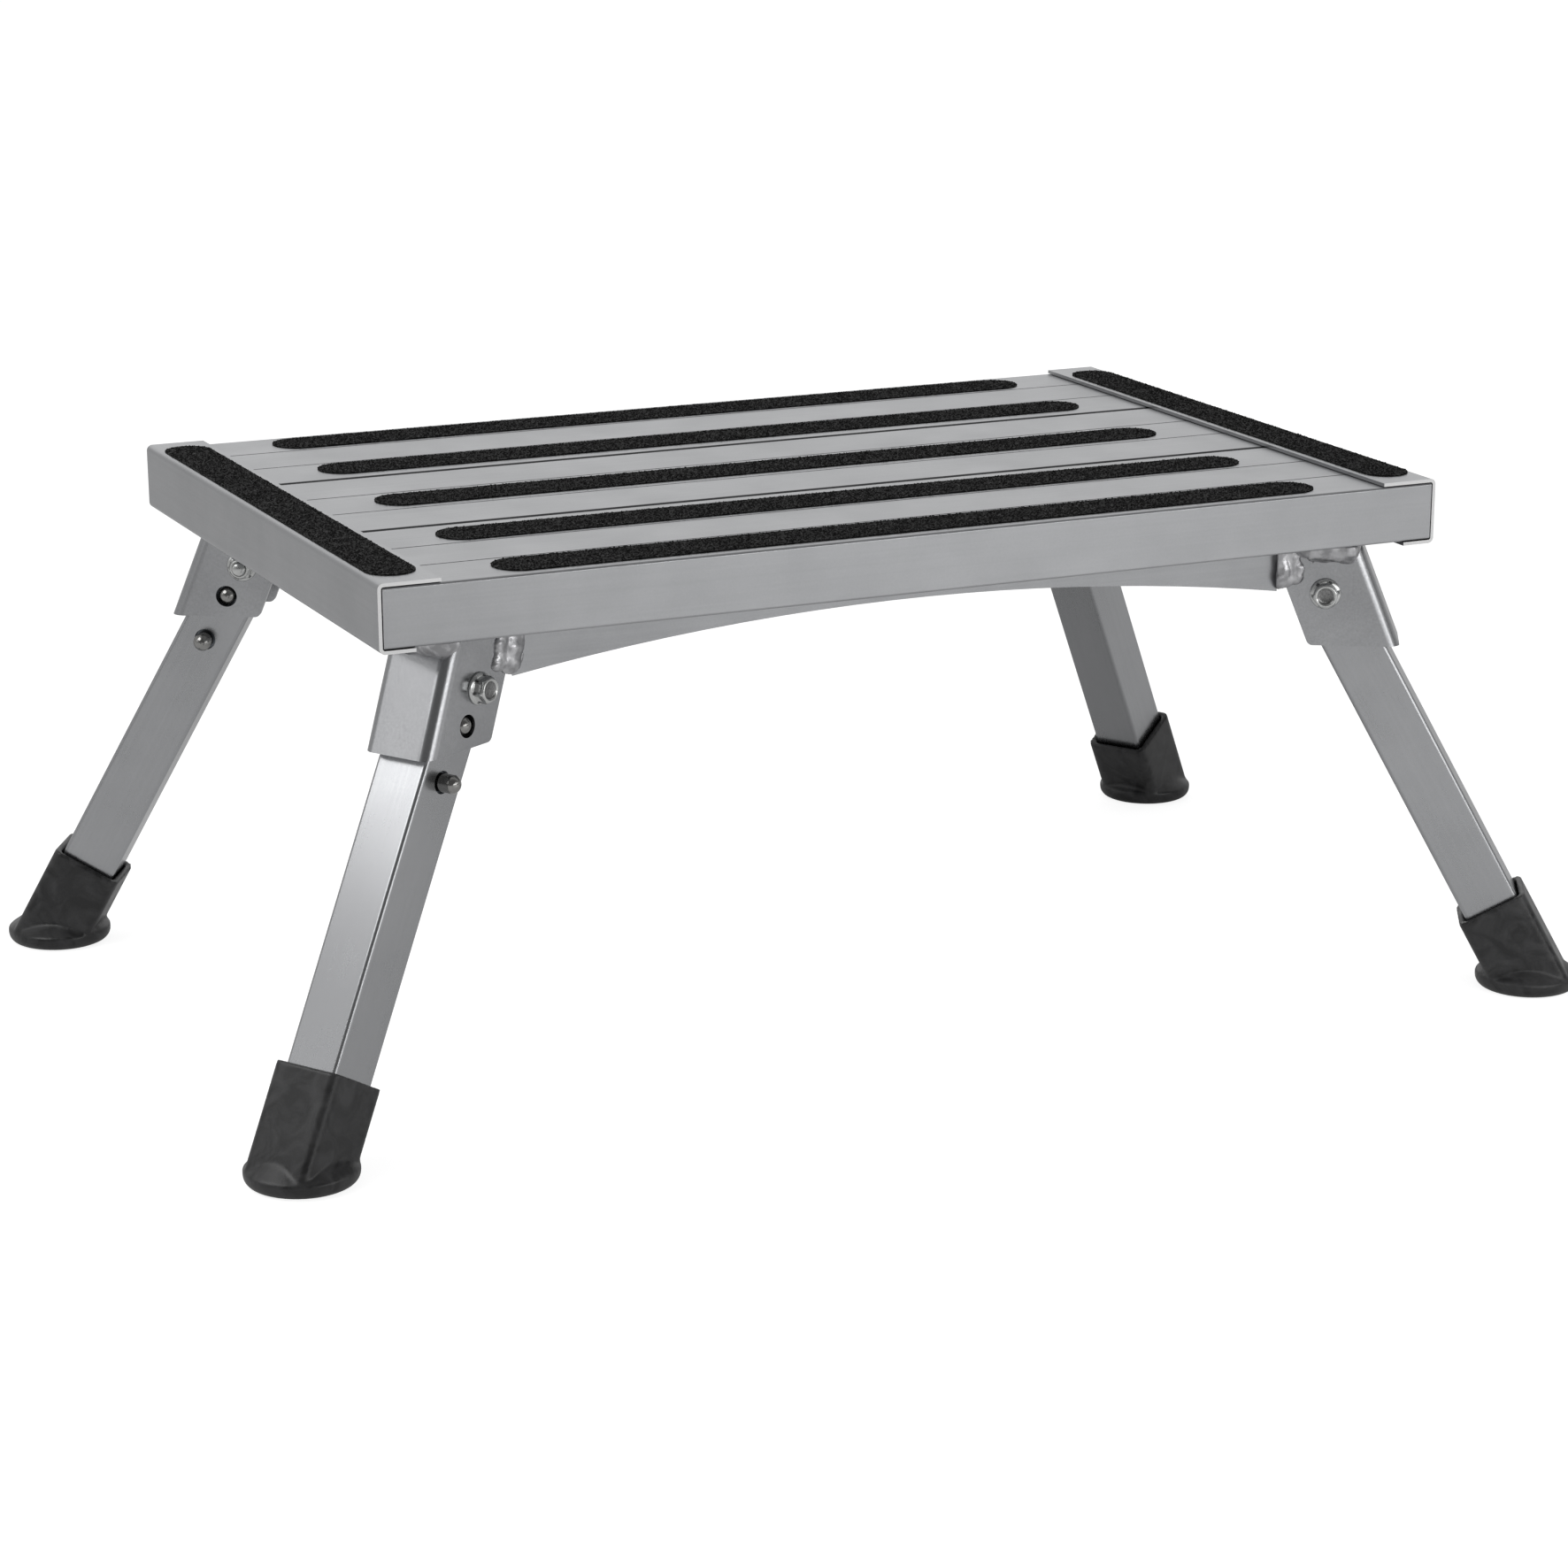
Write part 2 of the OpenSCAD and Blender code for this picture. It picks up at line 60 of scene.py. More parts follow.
def linear(colour):
    """A hex colour, as a screen shows it, in linear red, green, blue and alpha."""
    shares = [int(colour[i:i + 2], 16) / 255 for i in (1, 3, 5)]
    return [s / 12.92 if s <= 0.04045 else ((s + 0.055) / 1.055) ** 2.4 for s in shares] + [1]


def add(tree, kind, inputs=None, **settings):
    """Adds a node with its settings. Each input is a plain value or another node's socket."""
    node = tree.nodes.new(kind)
    for name, value in settings.items():
        setattr(node, name, value)
    for name, value in (inputs or {}).items():
        if isinstance(value, bpy.types.NodeSocket):
            tree.links.new(value, node.inputs[name])
        else:
            node.inputs[name].default_value = value
    return node


def new_material(name):
    """An empty material and its node tree."""
    material = bpy.data.materials.new(name)
    material.use_nodes = True
    material.node_tree.nodes.clear()
    return material, material.node_tree


def new_piece(name, verts, faces, smooth=False):
    """A piece made of its own vertices and faces."""
    mesh = bpy.data.meshes.new(name)
    mesh.from_pydata([tuple(v) for v in verts], [], faces)
    mesh.update()
    mesh.polygons.foreach_set("use_smooth", [smooth] * len(mesh.polygons))
    piece = bpy.data.objects.new(name, mesh)
    bpy.context.scene.collection.objects.link(piece)
    return piece


def copy_of(node, name):
    """A piece of its own with a CAD node's shape."""
    piece = bpy.data.objects.new(name, frame["nodes"][node].data.copy())
    bpy.context.scene.collection.objects.link(piece)
    return piece


def settle(piece):
    """Turns what the modifiers make into the piece's own plain mesh."""
    graph = bpy.context.evaluated_depsgraph_get()
    made = bpy.data.meshes.new_from_object(piece.evaluated_get(graph))
    piece.modifiers.clear()
    old, piece.data = piece.data, made
    made.name = piece.name
    bpy.data.meshes.remove(old)
    return piece


def shade_smooth(piece):
    piece.data.polygons.foreach_set("use_smooth", [True] * len(piece.data.polygons))


def soften(piece, voxel, passes):
    """Rebuilds a piece in small voxels and smooths it, which rounds its edges."""
    remesh = piece.modifiers.new("remesh", "REMESH")
    remesh.mode = "VOXEL"
    remesh.voxel_size = voxel
    smooth = piece.modifiers.new("smooth", "SMOOTH")
    smooth.iterations = passes
    settle(piece)


def finish_piece(piece, material, body, slot, *nodes):
    """Gives a piece its material and body, and hides the CAD nodes that it stands for. slot is not used.
    """
    piece.data.materials.clear()
    piece.data.materials.append(material)
    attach(piece, body)
    if nodes:
        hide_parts(*nodes)


def dress(material, *nodes):
    """Gives CAD nodes that keep their own shape a material."""
    for node in nodes:
        data = frame["nodes"][node].data
        data.materials.clear()
        data.materials.append(material)


# Where each leg's hinge is and how the leg stands, as the frame has them

class Corner:
    """A leg's corner. outward is the way that the bolt's head points, splay the way that the foot
    leans out, and tube_turn the turn that stands an upright tube as the leg stands."""

    def __init__(self, name):
        joint = next(j for j in frame["joints"] if j["name"] == f"{name}_fold")
        side_x, side_y = CORNERS[name]
        self.name = name
        self.hinge = Vector(joint["pos_m"])
        across = Vector(joint["axis"])
        self.outward = across * side_x * side_y
        self.splay = Vector((0, 0, 1)).cross(across) * -1
        low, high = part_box(f"{name}_leg_tube")
        down = (low + high) / 2 - self.hinge
        lean = math.atan2(down.dot(self.splay), -down.z)
        heading = math.atan2(self.splay.y, self.splay.x)
        self.tube_turn = (0, -lean, heading)


corners = [Corner(name) for name in CORNERS]


def reach(node, origin, direction):
    """How far a CAD node goes from a point along a direction: its least and its most."""
    spans = [(v.co - origin).dot(direction) for v in frame["nodes"][node].data.vertices]
    return min(spans), max(spans)


# Metals

# Lines and grain are drawn coarser than the real ones, so that they show.
CLOUD_SIZE = 38 * MM
# The next two values are the half width and the colour of a band of painted shade along each seam between
# planks.
SEAM_HALF = 1.9 * MM
SEAM_PAINTED_SHADE = "#5c5c5d"
ROUGHNESS_SWING = 0.03


def satin_metal(name, dark, light, roughness, streak_mm, turn=(0, 0, 0), grain_mm=0.9,
                relief_mm=0.004, streaks=0.5, cut_edge=None, seam=None):
    """Metal with fine lines that run along one axis, a soft grain, and faint wide clouds.
    streak_mm is the length and width of a line, turn lays X along the lines, cut_edge is the
    colour of faces sawn across the deck's ends, and seam is how far the planks' seams are from
    the deck's middle line."""
    material, tree = new_material(name)
    place = add(tree, "ShaderNodeTexCoord").outputs["Object"]
    length, width = (s * MM for s in streak_mm)
    along = add(tree, "ShaderNodeMapping",
                {"Vector": place, "Rotation": turn, "Scale": (length, width, width)},
                vector_type="TEXTURE")
    lines = add(tree, "ShaderNodeTexNoise",
                {"Vector": along.outputs["Vector"], "Scale": 1, "Detail": 3, "Roughness": 0.6})
    grain = add(tree, "ShaderNodeTexNoise",
                {"Vector": place, "Scale": 1 / (grain_mm * MM), "Detail": 2, "Roughness": 0.7})
    clouds = add(tree, "ShaderNodeTexNoise",
                 {"Vector": place, "Scale": 1 / CLOUD_SIZE, "Detail": 3, "Roughness": 0.55})
    texture = add(tree, "ShaderNodeMix",
                  {"Factor": streaks, "A": grain.outputs["Fac"], "B": lines.outputs["Fac"]})
    tone = add(tree, "ShaderNodeMix",
               {"Factor": 0.5, "A": texture.outputs["Result"], "B": clouds.outputs["Fac"]})
    colour = add(tree, "ShaderNodeMapRange",
                 {"Value": tone.outputs["Result"], "From Min": 0.36, "From Max": 0.64})
    mixed = add(tree, "ShaderNodeMix",
                {"Factor": colour.outputs["Result"], "A": linear(dark), "B": linear(light)},
                data_type="RGBA")
    sheen = add(tree, "ShaderNodeMapRange",
                {"Value": tone.outputs["Result"], "From Min": 0.35, "From Max": 0.65,
                 "To Min": roughness + ROUGHNESS_SWING, "To Max": roughness - ROUGHNESS_SWING})
    bump = add(tree, "ShaderNodeBump",
               {"Height": texture.outputs["Result"], "Strength": 1, "Distance": relief_mm * MM})
    # Painted shade: a dark band along each seam between planks
    if seam:
        spot = add(tree, "ShaderNodeSeparateXYZ", {"Vector": place})
        side = add(tree, "ShaderNodeMath", {0: spot.outputs["Y"]}, operation="ABSOLUTE")
        near = add(tree, "ShaderNodeMath", {0: side.outputs["Value"], 1: seam, 2: SEAM_HALF},
                   operation="COMPARE")
        mixed = add(tree, "ShaderNodeMix",
                    {"Factor": near.outputs["Value"], "A": mixed.outputs["Result"],
                     "B": linear(SEAM_PAINTED_SHADE)}, data_type="RGBA")
    if cut_edge:
        facing = add(tree, "ShaderNodeSeparateXYZ",
                     {"Vector": add(tree, "ShaderNodeNewGeometry").outputs["True Normal"]})
        across = add(tree, "ShaderNodeMath", {0: facing.outputs["Y"]}, operation="ABSOLUTE")
        sawn = add(tree, "ShaderNodeMapRange",
                   {"Value": across.outputs["Value"], "From Min": 0.9, "From Max": 0.95})
        mixed = add(tree, "ShaderNodeMix",
                    {"Factor": sawn.outputs["Result"], "A": mixed.outputs["Result"],
                     "B": linear(cut_edge)}, data_type="RGBA")
    shader = add(tree, "ShaderNodeBsdfPrincipled",
                 {"Base Color": mixed.outputs["Result"], "Metallic": 1,
                  "Roughness": sheen.outputs["Result"], "Normal": bump.outputs["Normal"]})
    add(tree, "ShaderNodeOutputMaterial", {"Surface": shader.outputs["BSDF"]})
    return material


def extruded_aluminium():
    """Clear anodised extrusion: pale satin silver with faint die lines along the plank, and a dark band of
    painted shade along the seams between planks."""
    seam = (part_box("middle_plank")[1].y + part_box("back_plank")[0].y) / 2
    return satin_metal("extruded_aluminium", "#abacae", "#b4b5b7", 0.38, (120, 1.4), seam=seam)


def folded_aluminium():
    """Rolled sheet, folded and anodised, with the bare metal showing bright where it was sawn."""
    return satin_metal("folded_aluminium", "#a7a8aa", "#b0b1b3", 0.34, (90, 1.2),
                       (0, 0, math.pi / 2), cut_edge="#e2e2e2")


def cut_aluminium_plate():
    """Plate cut to an arch, with the rolling direction along the deck."""
    return satin_metal("cut_aluminium_plate", "#a0a1a3", "#adaeb0", 0.4, (80, 1.2))


def bracket_aluminium(corner):
    """Thicker folded sheet with a grain that catches the light, as if tumbled before folding."""
    return satin_metal(f"bracket_aluminium_{corner.name}", "#a3a4a6", "#b3b4b6", 0.24, (26, 1.2),
                       corner.tube_turn, grain_mm=1, relief_mm=0.007, streaks=0.2)


def drawn_aluminium(corner):
    """Drawn square tube: long fine lines down the leg, and a brighter, tighter reflection."""
    upright = Euler(corner.tube_turn).to_matrix() @ Euler((0, math.pi / 2, 0)).to_matrix()
    return satin_metal(f"drawn_aluminium_{corner.name}", "#abacae", "#b2b3b5", 0.26, (140, 1.5),
                       tuple(upright.to_euler()), relief_mm=0.0015, streaks=0.6)


def weld_metal():
    """Aluminium weld bead: bright where it froze smooth, with dull grey oxide in the hollows."""
    material, tree = new_material("weld_metal")
    place = add(tree, "ShaderNodeTexCoord").outputs["Object"]
    soot = add(tree, "ShaderNodeTexNoise", {"Vector": place, "Scale": 1 / (4 * MM), "Detail": 4})
    share = add(tree, "ShaderNodeMapRange",
                {"Value": soot.outputs["Fac"], "From Min": 0.4, "From Max": 0.6})
    colour = add(tree, "ShaderNodeMix",
                 {"Factor": share.outputs["Result"], "A": linear("#a2a2a4"), "B": linear("#c4c4c6")},
                 data_type="RGBA")
    rough = add(tree, "ShaderNodeMapRange",
                {"Value": soot.outputs["Fac"], "From Min": 0.4, "From Max": 0.6,
                 "To Min": 0.44, "To Max": 0.3})
    bump = add(tree, "ShaderNodeBump",
               {"Height": soot.outputs["Fac"], "Strength": 1, "Distance": 0.03 * MM})
    shader = add(tree, "ShaderNodeBsdfPrincipled",
                 {"Base Color": colour.outputs["Result"], "Metallic": 1,
                  "Roughness": rough.outputs["Result"], "Normal": bump.outputs["Normal"]})
    add(tree, "ShaderNodeOutputMaterial", {"Surface": shader.outputs["BSDF"]})
    return material


def plated_steel(name, dark, light, roughness):
    """Steel under thin bright plating, with the small clouds and pits of a barrel finish."""
    material, tree = new_material(name)
    place = add(tree, "ShaderNodeTexCoord").outputs["Object"]
    pits = add(tree, "ShaderNodeTexNoise",
               {"Vector": place, "Scale": 1 / (0.8 * MM), "Detail": 3, "Roughness": 0.6})
    colour = add(tree, "ShaderNodeMix",
                 {"Factor": pits.outputs["Fac"], "A": linear(dark), "B": linear(light)},
                 data_type="RGBA")
    rough = add(tree, "ShaderNodeMapRange",
                {"Value": pits.outputs["Fac"], "From Min": 0.3, "From Max": 0.7,
                 "To Min": roughness + 0.06, "To Max": roughness - 0.04})
    bump = add(tree, "ShaderNodeBump",
               {"Height": pits.outputs["Fac"], "Strength": 1, "Distance": 0.02 * MM})
    shader = add(tree, "ShaderNodeBsdfPrincipled",
                 {"Base Color": colour.outputs["Result"], "Metallic": 1,
                  "Roughness": rough.outputs["Result"], "Normal": bump.outputs["Normal"]})
    add(tree, "ShaderNodeOutputMaterial", {"Surface": shader.outputs["BSDF"]})
    return material


# Rubber and grit tape

def moulded_rubber():
    """Black moulded rubber: matt charcoal, smudged with paler scuffs from handling."""
    material, tree = new_material("moulded_rubber")
    place = add(tree, "ShaderNodeTexCoord").outputs["Object"]
    smudges = add(tree, "ShaderNodeTexNoise",
                  {"Vector": place, "Scale": 1 / (11 * MM), "Detail": 4, "Distortion": 1.2})
    skin = add(tree, "ShaderNodeTexNoise",
               {"Vector": place, "Scale": 1 / (0.7 * MM), "Detail": 2})
    share = add(tree, "ShaderNodeMapRange",
                {"Value": smudges.outputs["Fac"], "From Min": 0.38, "From Max": 0.68})
    colour = add(tree, "ShaderNodeMix",
                 {"Factor": share.outputs["Result"], "A": linear("#1b1b1c"), "B": linear("#424243")},
                 data_type="RGBA")
    rough = add(tree, "ShaderNodeMapRange",
                {"Value": smudges.outputs["Fac"], "From Min": 0.35, "From Max": 0.65,
                 "To Min": 0.32, "To Max": 0.46})
    bump = add(tree, "ShaderNodeBump",
               {"Height": skin.outputs["Fac"], "Strength": 1, "Distance": 0.03 * MM})
    shader = add(tree, "ShaderNodeBsdfPrincipled",
                 {"Base Color": colour.outputs["Result"], "Roughness": rough.outputs["Result"],
                  "IOR": 1.52, "Normal": bump.outputs["Normal"]})
    add(tree, "ShaderNodeOutputMaterial", {"Surface": shader.outputs["BSDF"]})
    return material


def grit_tape():
    """Black mineral grit set in resin: nearly black, with single grains that glint grey."""
    material, tree = new_material("grit_tape")
    place = add(tree, "ShaderNodeTexCoord").outputs["Object"]
    grains = add(tree, "ShaderNodeTexVoronoi", {"Vector": place, "Scale": 1 / (0.8 * MM)})
    fleck = add(tree, "ShaderNodeSeparateColor", {"Color": grains.outputs["Color"]})
    share = add(tree, "ShaderNodeMapRange",
                {"Value": fleck.outputs["Red"], "From Min": 0.8, "From Max": 1})
    colour = add(tree, "ShaderNodeMix",
                 {"Factor": share.outputs["Result"], "A": linear("#0b0b0b"), "B": linear("#4c4c4c")},
                 data_type="RGBA")
    resin = add(tree, "ShaderNodeTexNoise", {"Vector": place, "Scale": 1 / (0.5 * MM), "Detail": 2})
    bump = add(tree, "ShaderNodeBump",
               {"Height": resin.outputs["Fac"], "Strength": 1, "Distance": 0.1 * MM})
    shader = add(tree, "ShaderNodeBsdfPrincipled",
                 {"Base Color": colour.outputs["Result"], "Roughness": 0.75, "IOR": 1.5,
                  "Specular IOR Level": 0.16, "Normal": bump.outputs["Normal"]})
    add(tree, "ShaderNodeOutputMaterial", {"Surface": shader.outputs["BSDF"]})
    return material


# Grit strips: a thin backing with grains scattered on it

# The grains are drawn coarser than real grit, so that they show.
GRIT_HEIGHT = 0.4 * MM
GRIT_SPREAD = 1 / (MM * MM)
GRIT_RADIUS = 0.5 * MM
GRIT_TIP = 0.08 * MM
GRIT_TILT = 0.3
GRIT_LEAST = (0.5, 0.5, 0.45)
GRIT_MOST = (1.15, 1.15, 0.95)

# A face looks up where its normal's Z is over this.
LOOKS_UP = 0.5


def grit_tree(material):
    """Scatters small blunt pyramids, tilted and scaled at random, over the faces that look up."""
    tree = bpy.data.node_groups.new("scattered_grit", "GeometryNodeTree")
    for name, kind in (("Geometry", "NodeSocketGeometry"), ("Grains per area", "NodeSocketFloat"),
                       ("Grain radius", "NodeSocketFloat"), ("Grain height", "NodeSocketFloat"),
                       ("Seed", "NodeSocketInt")):
        tree.interface.new_socket(name, in_out="INPUT", socket_type=kind)
    tree.interface.new_socket("Geometry", in_out="OUTPUT", socket_type="NodeSocketGeometry")
    given = add(tree, "NodeGroupInput").outputs
    facing = add(tree, "ShaderNodeSeparateXYZ",
                 {"Vector": add(tree, "GeometryNodeInputNormal").outputs["Normal"]})
    up = add(tree, "FunctionNodeCompare", {"A": facing.outputs["Z"], "B": LOOKS_UP},
             operation="GREATER_THAN")
    points = add(tree, "GeometryNodeDistributePointsOnFaces",
                 {"Mesh": given["Geometry"], "Selection": up.outputs["Result"],
                  "Density": given["Grains per area"], "Seed": given["Seed"]})
    grain = add(tree, "GeometryNodeMeshCone",
                {"Vertices": 3, "Radius Top": GRIT_TIP, "Radius Bottom": given["Grain radius"],
                 "Depth": given["Grain height"]}, fill_type="TRIANGLE_FAN")
    spin = add(tree, "FunctionNodeRandomValue",
               {"Min": (-GRIT_TILT, -GRIT_TILT, 0), "Max": (GRIT_TILT, GRIT_TILT, 2 * math.pi),
                "Seed": given["Seed"]},
               data_type="FLOAT_VECTOR")
    size = add(tree, "FunctionNodeRandomValue",
               {"Min": GRIT_LEAST, "Max": GRIT_MOST, "Seed": given["Seed"]},
               data_type="FLOAT_VECTOR")
    grains = add(tree, "GeometryNodeInstanceOnPoints",
                 {"Points": points.outputs["Points"], "Instance": grain.outputs["Mesh"],
                  "Rotation": spin.outputs["Value"], "Scale": size.outputs["Value"]})
    real = add(tree, "GeometryNodeRealizeInstances", {"Geometry": grains.outputs["Instances"]})
    joined = add(tree, "GeometryNodeJoinGeometry")
    tree.links.new(real.outputs["Geometry"], joined.inputs["Geometry"])
    tree.links.new(given["Geometry"], joined.inputs["Geometry"])
    done = add(tree, "GeometryNodeSetMaterial",
               {"Geometry": joined.outputs["Geometry"], "Material": material})
    add(tree, "NodeGroupOutput", {"Geometry": done.outputs["Geometry"]})
    return tree


def grit_strips(material):
    """Lowers each strip's face by a grain's height and covers it with grains."""
    tree = grit_tree(material)
    sockets = {s.name: s.identifier for s in tree.interface.items_tree if s.in_out == "INPUT"}
    for seed, node in enumerate(DECK_STRIPS + END_STRIPS):
        strip = copy_of(node, node.replace("grip", "grit_strip"))
        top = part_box(node)[1].z
        for vertex in strip.data.vertices:
            if vertex.co.z > top - GRIT_HEIGHT:
                vertex.co.z -= GRIT_HEIGHT
        scatter = strip.modifiers.new("grit", "NODES")
        scatter.node_group = tree
        for name, value in (("Grains per area", GRIT_SPREAD), ("Grain radius", GRIT_RADIUS),
                            ("Grain height", GRIT_HEIGHT), ("Seed", seed)):
            scatter[sockets[name]] = value
        finish_piece(settle(strip), material, "deck", "grit_tape", node)


# Welds: the frame's beads, made lumpy and washed onto the bracket beside the arch rail

BEAD_VOXEL = 0.4 * MM
BEAD_PASSES = 9

# How much of the frame's bead stays past the bracket's web, and past its joint with the arch rail.
# In the photo no two beads are alike.
WEB_SHARE = {"front_left": 0.9, "front_right": 0.25, "back_left": 0.6, "back_right": 0.7}
ARCH_SHARE = {"front_left": 0.9, "front_right": 0.1, "back_left": 0.5, "back_right": 0.5}

# Places seen from the hinge: the web, the joint and the bead's low end along the splay, and the
# deck's underside above it
WEB_OUT = 12 * MM
JOINT_OUT = -21.4 * MM
DECK_UP = 23 * MM
RISE_FROM = -8 * MM
RISE_SHARE = 0.16

# A lump of weld, in millimetres. reach, top and bottom place the row of lumps beside the joint.
PUDDLE = {"radius": 4.6, "thickness": 2.4, "flatness": 0.7, "reach": 7, "wander": 1.5, "top": 3,
          "bottom": 16}
PUDDLES = 7
PUDDLE_RINGS = 7
PUDDLE_SIDES = 16
REACH_START = 0.6
REACH_GROWTH = 0.6
WANDER_STEP = 3.1
WANDER_SCALE = 100

# Unevenness of the beads, in millimetres: the size of lumps and ripples and how high they stand.
# BEAD_APART takes each corner's beads to another part of the noise.
LUMP_SIZE = 5
LUMP_HEIGHT = 0.8
RIPPLE_SIZE = 2.4
RIPPLE_HEIGHT = 0.1
BEAD_SHRINK = 0.1
BEAD_APART = 7


def puddles(corner):
    """Overlapping flat lumps of weld metal down the bracket's side, next to the joint."""
    side_x, side_y = CORNERS[corner.name]
    low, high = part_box("front_arch_rail" if side_y < 0 else "back_arch_rail")
    joint = Vector((side_x * high.x, low.y if side_y < 0 else high.y, high.z))
    verts, faces = [], []
    for k in range(PUDDLES):
        share = k / (PUDDLES - 1)
        wander = noise.noise(
            Vector((WANDER_STEP * k, joint.x * WANDER_SCALE, joint.y * WANDER_SCALE)))
        reach_out = PUDDLE["reach"] * (REACH_START + REACH_GROWTH * share)
        centre = joint + corner.splay * MM * (reach_out + PUDDLE["wander"] * wander)
        centre.z -= MM * (PUDDLE["top"] + (PUDDLE["bottom"] - PUDDLE["top"]) * share)
        start = len(verts)
        for i in range(1, PUDDLE_RINGS + 1):
            for j in range(PUDDLE_SIDES):
                lean = math.pi * i / (PUDDLE_RINGS + 1)
                turn = 2 * math.pi * j / PUDDLE_SIDES
                flat = PUDDLE["radius"] * MM * math.sin(lean)
                verts.append(centre + corner.splay * flat * math.cos(turn)
                             + Vector((0, 0, PUDDLE["flatness"] * flat * math.sin(turn)))
                             + corner.outward * PUDDLE["thickness"] * MM * math.cos(lean))
        for i in range(PUDDLE_RINGS - 1):
            for j in range(PUDDLE_SIDES):
                a = start + PUDDLE_SIDES * i + j
                b = start + PUDDLE_SIDES * i + (j + 1) % PUDDLE_SIDES
                faces.append((a, b, b + PUDDLE_SIDES, a + PUDDLE_SIDES))
        last = start + PUDDLE_SIDES * (PUDDLE_RINGS - 1)
        faces += [tuple(range(start, start + PUDDLE_SIDES))[::-1],
                  tuple(range(last, last + PUDDLE_SIDES))]
    return verts, faces


def pulled_in(corner, point):
    """Pulls a bead's outer end back to the bracket's web, its other end onto the bracket, and the
    low part of that end up a little."""
    out = (point - corner.hinge).dot(corner.splay)
    shift = (WEB_OUT - out) * (1 - WEB_SHARE[corner.name]) if out > WEB_OUT else 0
    shift += (JOINT_OUT - out) * (1 - ARCH_SHARE[corner.name]) if out < JOINT_OUT else 0
    top = corner.hinge.z + DECK_UP
    rise = (top - point.z) * RISE_SHARE if out < RISE_FROM and point.z < top else 0
    return point + corner.splay * shift + Vector((0, 0, rise))


def weld_beads(material):
    """Melts the frame's beads and the lumps beside them into one, and makes it uneven."""
    for number, corner in enumerate(corners):
        cad = frame["nodes"][f"{corner.name}_weld"].data
        verts, faces = puddles(corner)
        first = len(verts)
        verts += [pulled_in(corner, v.co) for v in cad.vertices]
        faces += [tuple(first + i for i in p.vertices) for p in cad.polygons]
        bead = new_piece(f"{corner.name}_weld_bead", verts, faces)
        soften(bead, BEAD_VOXEL, BEAD_PASSES)
        shift = Vector((0, 0, BEAD_APART * number))
        for vertex in bead.data.vertices:
            spot = vertex.co / MM
            lumps = noise.noise(spot / LUMP_SIZE + shift)
            ripples = noise.noise(spot / RIPPLE_SIZE + shift)
            height = LUMP_HEIGHT * lumps + RIPPLE_HEIGHT * ripples - BEAD_SHRINK
            vertex.co += vertex.normal * MM * height
        shade_smooth(bead)
        finish_piece(bead, material, "deck", "weld_aluminium", f"{corner.name}_weld")


# Bolts and nuts, turned about the hinge axis

# In millimetres, as heights or as distances from the middle
BOLT = {"hex": 5.0, "shank": 3.0, "thread": 9, "thread_depth": 0.3, "pitch": 1.0, "point": 0.4,
        "chamfer": 0.5, "runout": 0.2, "dish": 4.0, "dish_depth": 0.9, "collar": 4.3,
        "collar_height": 1.6, "bore_play": 0.05}
HEX_CORNER = BOLT["hex"] / math.cos(math.pi / 6)
BORE = BOLT["shank"] + BOLT["bore_play"]
SIDES = 72
THREAD_STEPS = 8

# FLANGE has heights and how far each is inside the flange's edge. The others have depths under the
# top of the head, the nut's shoulder or its collar, and distances from the middle.
FLANGE = ((0, 0.25), (0.2, 0), (0.7, 0), (1.0, 0.3), (1.6, 1.5))
HEAD_CHAMFER = ((1.1, HEX_CORNER), (0.5, BOLT["hex"] + 0.25), (0.1, BOLT["hex"] - 0.2))
HEAD_DISH = ((0, BOLT["dish"] + 0.3), (0.1, BOLT["dish"]), (0.5, BOLT["dish"] - 0.35),
             (BOLT["dish_depth"], BOLT["dish"] - 1.4), (BOLT["dish_depth"], 0.3))
NUT_CHAMFER = ((0.7, HEX_CORNER), (0.2, BOLT["hex"] + 0.2), (0, BOLT["collar"]))
NUT_COLLAR = ((0.3, BOLT["collar"]), (0, BOLT["collar"] - 0.4), (0, BORE + 0.2), (0.2, BORE))

# Faces of the head that are this near its top and this far inside the dish's edge get painted shade, a
# darker steel.
DARK_DEPTH = 1.2
DARK_RIM = 0.2


def hexagon(angle):
    """Distance from the middle to the hexagon's edge in the direction of an angle."""
    sixth = math.pi / 3
    return BOLT["hex"] / math.cos((angle + sixth / 2) % sixth - sixth / 2)


def turned(name, rings, axis, origin, closed=False):
    """A piece made of rings round an axis. A ring is its height and a radius for each angle.
    A closed piece joins its last ring to the first, and others have a flat face at both ends."""
    side = axis.orthogonal().normalized()
    other = axis.cross(side)
    verts, faces = [], []
    for height, radius in rings:
        for i in range(SIDES):
            angle = 2 * math.pi * i / SIDES
            r, h = radius(angle) * MM, height * MM
            verts.append(origin + axis * h + (side * math.cos(angle) + other * math.sin(angle)) * r)
    last = len(rings)
    for k in range(last if closed else last - 1):
        for i in range(SIDES):
            a, b = k * SIDES + i, k * SIDES + (i + 1) % SIDES
            up = SIDES if k < last - 1 else -k * SIDES
            faces.append((a, b, b + up, a + up))
    if not closed:
        faces += [tuple(range(SIDES))[::-1], tuple(range((last - 1) * SIDES, last * SIDES))]
    return new_piece(name, verts, faces, smooth=True)


def round_ring(height, radius):
    return height, lambda angle: radius


def hex_ring(height, limit):
    """A hexagon whose corners are cut round at a limit."""
    return height, lambda angle: min(hexagon(angle), limit)


def flange_rings(corner):
    """Bearing flange with a rounded edge, sloping up to the hexagon's foot."""
    full = reach(f"{corner.name}_hinge_nut", corner.hinge, Vector((0, 0, 1)))[1] / MM
    return [round_ring(height, full - inside) for height, inside in FLANGE] + [
        hex_ring(FLANGE[-1][0], HEX_CORNER)]


